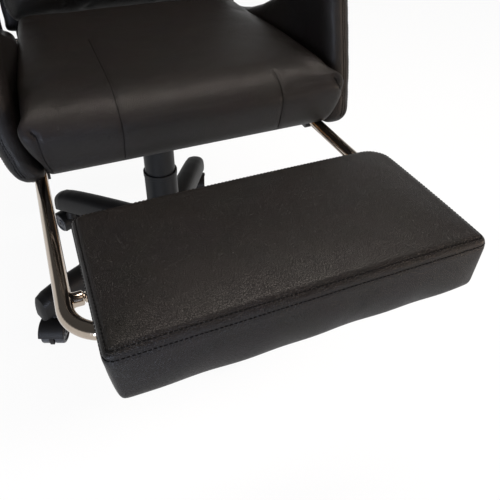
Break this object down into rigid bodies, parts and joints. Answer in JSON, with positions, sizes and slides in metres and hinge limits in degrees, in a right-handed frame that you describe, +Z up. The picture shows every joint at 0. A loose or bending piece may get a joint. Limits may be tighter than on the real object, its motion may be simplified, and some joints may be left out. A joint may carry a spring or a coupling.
{
  "type": "reclining office chair with footrest",
  "caption": "Padded office chair on a five-legged caster base, with a reclining back, loop arms and a footrest pad on a bent chrome tube that slides out from under the seat.",
  "frame": {"origin": "middle of the chair's footprint box, on the floor", "axes": "+Z up; -Y is the way the sitter faces, with the footrest at -Y; -X is the sitter's right, where the levers are"},
  "size_m": [0.6702, 1.1556, 1.2308],
  "materials": {
    "leather": "satin",
    "chrome": "polished",
    "steel": "satin",
    "zinc": "satin",
    "nylon": "matte",
    "plastic": "satin",
    "tread": "satin",
    "plywood": "matte"
  },
  "bodies": {
    "base": {"base_star": "nylon", "column_tube": "steel", "cover_lower": "plastic"},
    "caster_1": {"caster_1_hood": "nylon"},
    "caster_1_wheel_a": {"caster_1_wheel_a": "tread"},
    "caster_1_wheel_b": {"caster_1_wheel_b": "tread"},
    "caster_2": {"caster_2_hood": "nylon"},
    "caster_2_wheel_a": {"caster_2_wheel_a": "tread"},
    "caster_2_wheel_b": {"caster_2_wheel_b": "tread"},
    "caster_3": {"caster_3_hood": "nylon"},
    "caster_3_wheel_a": {"caster_3_wheel_a": "tread"},
    "caster_3_wheel_b": {"caster_3_wheel_b": "tread"},
    "caster_4": {"caster_4_hood": "nylon"},
    "caster_4_wheel_a": {"caster_4_wheel_a": "tread"},
    "caster_4_wheel_b": {"caster_4_wheel_b": "tread"},
    "caster_5": {"caster_5_hood": "nylon"},
    "caster_5_wheel_a": {"caster_5_wheel_a": "tread"},
    "caster_5_wheel_b": {"caster_5_wheel_b": "tread"},
    "cover_slide": {"cover_middle": "plastic"},
    "lift": {"gas_rod": "zinc", "cover_upper": "plastic"},
    "mechanism": {"tilt_housing": "steel", "tilt_pin": "zinc", "tilt_spring": "steel"},
    "knob": {"tension_knob": "plastic"},
    "height_lever": {"height_lever": "steel", "height_lever_grip": "plastic"},
    "seat": {"seat_plate": "steel", "seat_board": "plywood", "seat_cushion": "leather", "arm_right": "leather", "arm_left": "leather", "arm_bracket_front_right": "steel", "arm_bracket_rear_right": "steel", "arm_bracket_front_left": "steel", "arm_bracket_rear_left": "steel", "rail_right": "steel", "rail_left": "steel", "rail_bush_right": "plastic", "rail_bush_left": "plastic", "recliner_fixed_right": "steel", "recliner_fixed_left": "steel"},
    "recline_lever": {"recline_lever": "steel", "recline_lever_grip": "plastic"},
    "back": {"back_shell": "leather", "back_cushion": "leather", "head_cushion": "leather", "sync_rod": "zinc", "recliner_moving_right": "steel", "recliner_moving_left": "steel"},
    "footrest": {"u_frame": "chrome", "slider_right": "plastic", "slider_left": "plastic", "pivot_rod": "chrome", "collar_right": "chrome", "collar_left": "chrome"},
    "pad": {"pad_bracket_right": "steel", "pad_bracket_left": "steel", "pad_board": "plywood", "footrest_pad": "leather"}
  },
  "joints": [
    {"name": "caster_1_swivel", "type": "hinge", "parent": "base", "child": "caster_1", "pos_m": [-0.21682, 0.3444, 0.064], "axis": [0, 0, 1], "continuous": true},
    {"name": "caster_1_wheel_a_roll", "type": "hinge", "parent": "caster_1", "child": "caster_1_wheel_a", "pos_m": [-0.22574, 0.36118, 0.02452], "axis": [-0.8829, -0.4695, 0], "continuous": true},
    {"name": "caster_1_wheel_b_roll", "type": "hinge", "parent": "caster_1", "child": "caster_1_wheel_b", "pos_m": [-0.22574, 0.36118, 0.02452], "axis": [-0.8829, -0.4695, 0], "continuous": true},
    {"name": "caster_2_swivel", "type": "hinge", "parent": "base", "child": "caster_2", "pos_m": [0.13762, 0.37978, 0.064], "axis": [0, 0, 1], "continuous": true},
    {"name": "caster_2_wheel_a_roll", "type": "hinge", "parent": "caster_2", "child": "caster_2_wheel_a", "pos_m": [0.14412, 0.39763, 0.02452], "axis": [-0.9397, 0.342, 0], "continuous": true},
    {"name": "caster_2_wheel_b_roll", "type": "hinge", "parent": "caster_2", "child": "caster_2_wheel_b", "pos_m": [0.14412, 0.39763, 0.02452], "axis": [-0.9397, 0.342, 0], "continuous": true},
    {"name": "caster_3_swivel", "type": "hinge", "parent": "base", "child": "caster_3", "pos_m": [0.28079, 0.05362, 0.064], "axis": [0, 0, 1], "continuous": true},
    {"name": "caster_3_wheel_a_roll", "type": "hinge", "parent": "caster_3", "child": "caster_3_wheel_a", "pos_m": [0.29801, 0.04559, 0.02452], "axis": [0.4226, 0.9063, 0], "continuous": true},
    {"name": "caster_3_wheel_b_roll", "type": "hinge", "parent": "caster_3", "child": "caster_3_wheel_b", "pos_m": [0.29801, 0.04559, 0.02452], "axis": [0.4226, 0.9063, 0], "continuous": true},
    {"name": "caster_4_swivel", "type": "hinge", "parent": "base", "child": "caster_4", "pos_m": [0.01484, -0.18333, 0.064], "axis": [0, 0, 1], "continuous": true},
    {"name": "caster_4_wheel_a_roll", "type": "hinge", "parent": "caster_4", "child": "caster_4_wheel_a", "pos_m": [0.01551, -0.20232, 0.02452], "axis": [0.9994, 0.0349, 0], "continuous": true},
    {"name": "caster_4_wheel_b_roll", "type": "hinge", "parent": "caster_4", "child": "caster_4_wheel_b", "pos_m": [0.01551, -0.20232, 0.02452], "axis": [0.9994, 0.0349, 0], "continuous": true},
    {"name": "caster_5_swivel", "type": "hinge", "parent": "base", "child": "caster_5", "pos_m": [-0.2927, -0.00362, 0.064], "axis": [0, 0, 1], "continuous": true},
    {"name": "caster_5_wheel_a_roll", "type": "hinge", "parent": "caster_5", "child": "caster_5_wheel_a", "pos_m": [-0.29981, -0.02124, 0.02452], "axis": [0.9272, -0.3746, 0], "continuous": true},
    {"name": "caster_5_wheel_b_roll", "type": "hinge", "parent": "caster_5", "child": "caster_5_wheel_b", "pos_m": [-0.29981, -0.02124, 0.02452], "axis": [0.9272, -0.3746, 0], "continuous": true},
    {"name": "lift_height", "type": "slide", "parent": "base", "child": "lift", "axis": [0, 0, 1], "range_m": [-0.08, 0.02]},
    {"name": "cover_travel", "type": "slide", "parent": "base", "child": "cover_slide", "axis": [0, 0, 1], "range_m": [-0.04, 0.01]},
    {"name": "seat_swivel", "type": "hinge", "parent": "lift", "child": "mechanism", "pos_m": [-0.01525, 0.11817, 0.398], "axis": [0, 0, 1], "continuous": true},
    {"name": "knob_turn", "type": "hinge", "parent": "mechanism", "child": "knob", "pos_m": [-0.01525, 0.05217, 0.398], "axis": [0, 0, 1], "continuous": true},
    {"name": "height_lever_lift", "type": "hinge", "parent": "mechanism", "child": "height_lever", "pos_m": [-0.05575, 0.09817, 0.418], "axis": [0, 1, 0], "range_deg": [0, 4], "stiffness_Nm_per_rad": 2, "springref_deg": -4.58},
    {"name": "seat_tilt", "type": "hinge", "parent": "mechanism", "child": "seat", "pos_m": [-0.01525, 0.05617, 0.438], "axis": [-1, 0, 0], "range_deg": [0, 12], "stiffness_Nm_per_rad": 280, "springref_deg": -11.46},
    {"name": "back_recline", "type": "hinge", "parent": "seat", "child": "back", "pos_m": [-0.01525, 0.40317, 0.505], "axis": [-1, 0, 0], "range_deg": [0, 50]},
    {"name": "recline_lever_lift", "type": "hinge", "parent": "seat", "child": "recline_lever", "pos_m": [-0.28725, 0.30817, 0.446], "axis": [-1, 0, 0], "range_deg": [0, 5], "stiffness_Nm_per_rad": 1, "springref_deg": -6.88},
    {"name": "footrest_slide", "type": "slide", "parent": "seat", "child": "footrest", "axis": [0, 1, 0], "range_m": [0, 0.15]},
    {"name": "pad_flip", "type": "hinge", "parent": "footrest", "child": "pad", "pos_m": [-0.01525, -0.41083, 0.464], "axis": [-1, 0, 0], "range_deg": [0, 180]}
  ],
  "couplings": [
    {"joint": "cover_travel", "follows": "lift_height", "ratio": 0.5}
  ]
}
